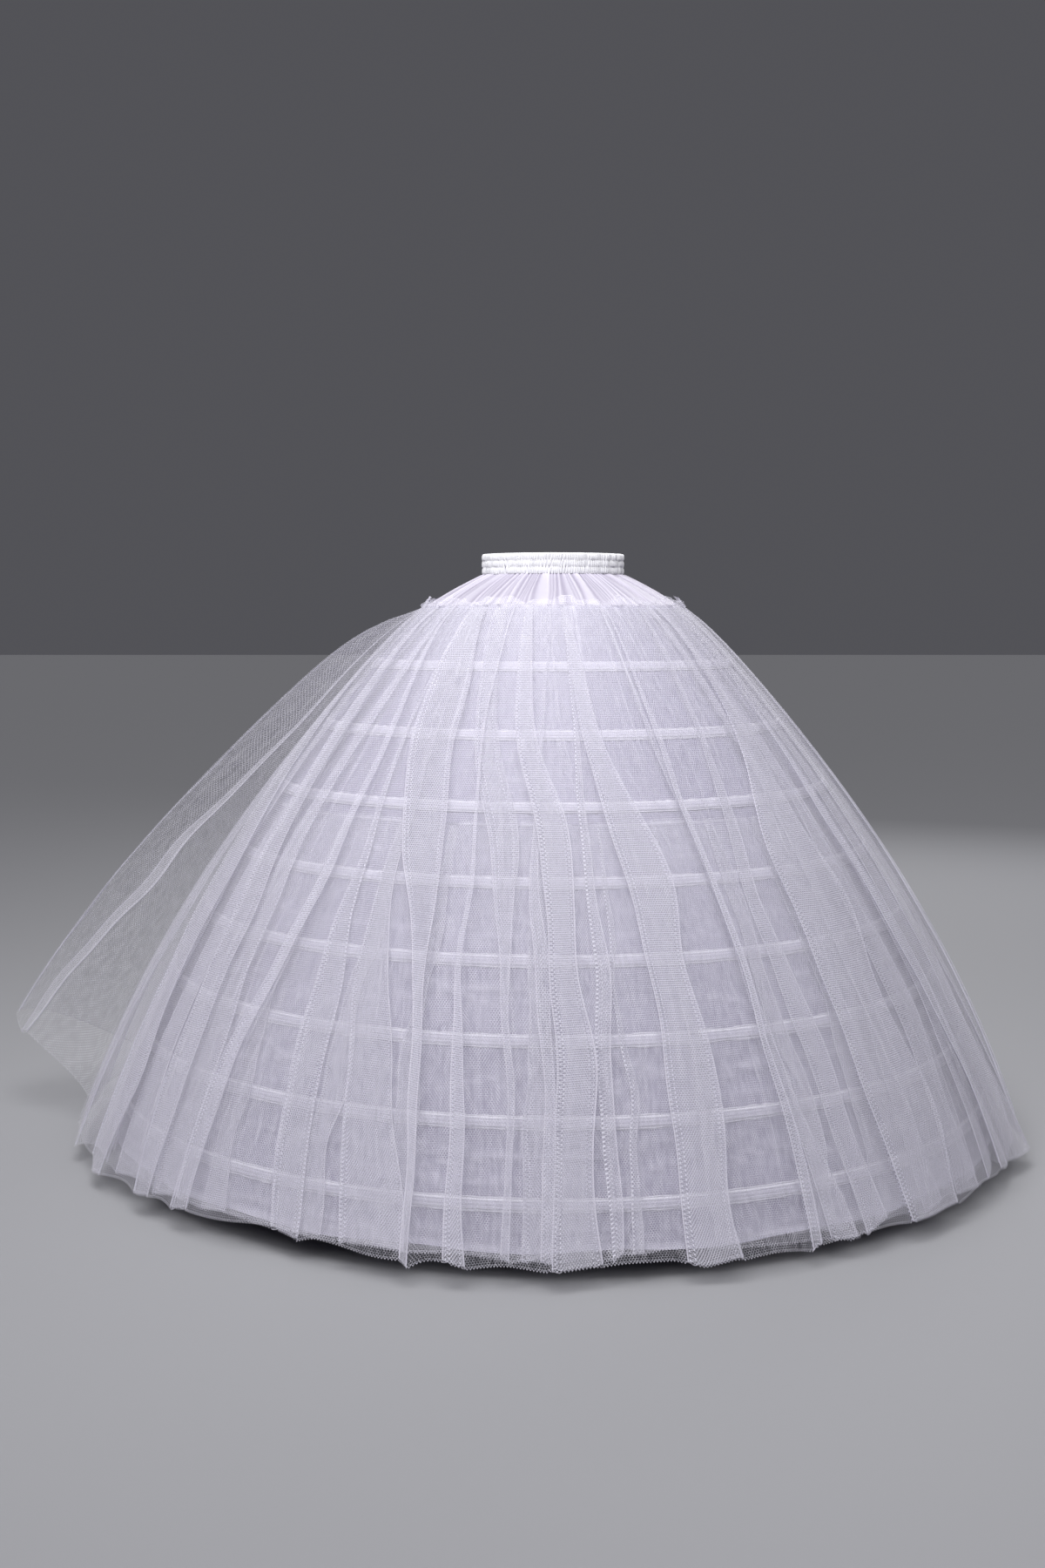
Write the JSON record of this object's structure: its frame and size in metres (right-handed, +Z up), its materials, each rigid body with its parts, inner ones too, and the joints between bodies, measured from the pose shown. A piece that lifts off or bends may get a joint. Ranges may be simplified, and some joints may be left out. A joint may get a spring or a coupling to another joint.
{
  "type": "crinoline cage",
  "caption": "Floor-length hooped crinoline petticoat: ruched elastic waistband, gathered yoke, taffeta lining on hoops in sewn tape casings, and gathered tulle layers with one side flute",
  "frame": {"origin": "centre of the waist opening, in the plane of the waistband's top edge", "axes": "+Z up, out of the waist opening towards the wearer's head; -Y towards the wearer's front; +X towards the wearer's left"},
  "size_m": [1.8069, 1.6522, 0.9924],
  "materials": {
    "cotton_white": "matte plain weave cotton, ruched on elastic",
    "elastic_white": "matte woven elastic",
    "taffeta_lilac_grey": "satin sheen taffeta",
    "casing_tape": "matte twill tape",
    "hoop_coating": "smooth white coating over spring steel",
    "joiner_steel": "zinc plated",
    "tulle_white": "soft open hexagon net"
  },
  "bodies": {
    "root": {"waistband_casing": "cotton_white", "waist_elastic": "elastic_white", "yoke": "taffeta_lilac_grey", "lining_gore_1": "taffeta_lilac_grey", "lining_gore_2": "taffeta_lilac_grey", "lining_gore_3": "taffeta_lilac_grey", "lining_gore_4": "taffeta_lilac_grey", "lining_gore_5": "taffeta_lilac_grey", "lining_gore_6": "taffeta_lilac_grey", "hoop_bone_1": "hoop_coating", "hoop_joiner_1": "joiner_steel", "hoop_casing_1": "casing_tape", "hoop_bone_2": "hoop_coating", "hoop_joiner_2": "joiner_steel", "hoop_casing_2": "casing_tape", "hoop_bone_3": "hoop_coating", "hoop_joiner_3": "joiner_steel", "hoop_casing_3": "casing_tape", "hoop_bone_4": "hoop_coating", "hoop_joiner_4": "joiner_steel", "hoop_casing_4": "casing_tape", "hoop_bone_5": "hoop_coating", "hoop_joiner_5": "joiner_steel", "hoop_casing_5": "casing_tape", "hoop_bone_6": "hoop_coating", "hoop_joiner_6": "joiner_steel", "hoop_casing_6": "casing_tape", "hoop_bone_7": "hoop_coating", "hoop_joiner_7": "joiner_steel", "hoop_casing_7": "casing_tape", "hoop_bone_8": "hoop_coating", "hoop_joiner_8": "joiner_steel", "hoop_casing_8": "casing_tape", "tulle_flounce": "tulle_white", "tulle_overlay_inner": "tulle_white", "tulle_overlay_outer": "tulle_white"}
  },
  "joints": []
}
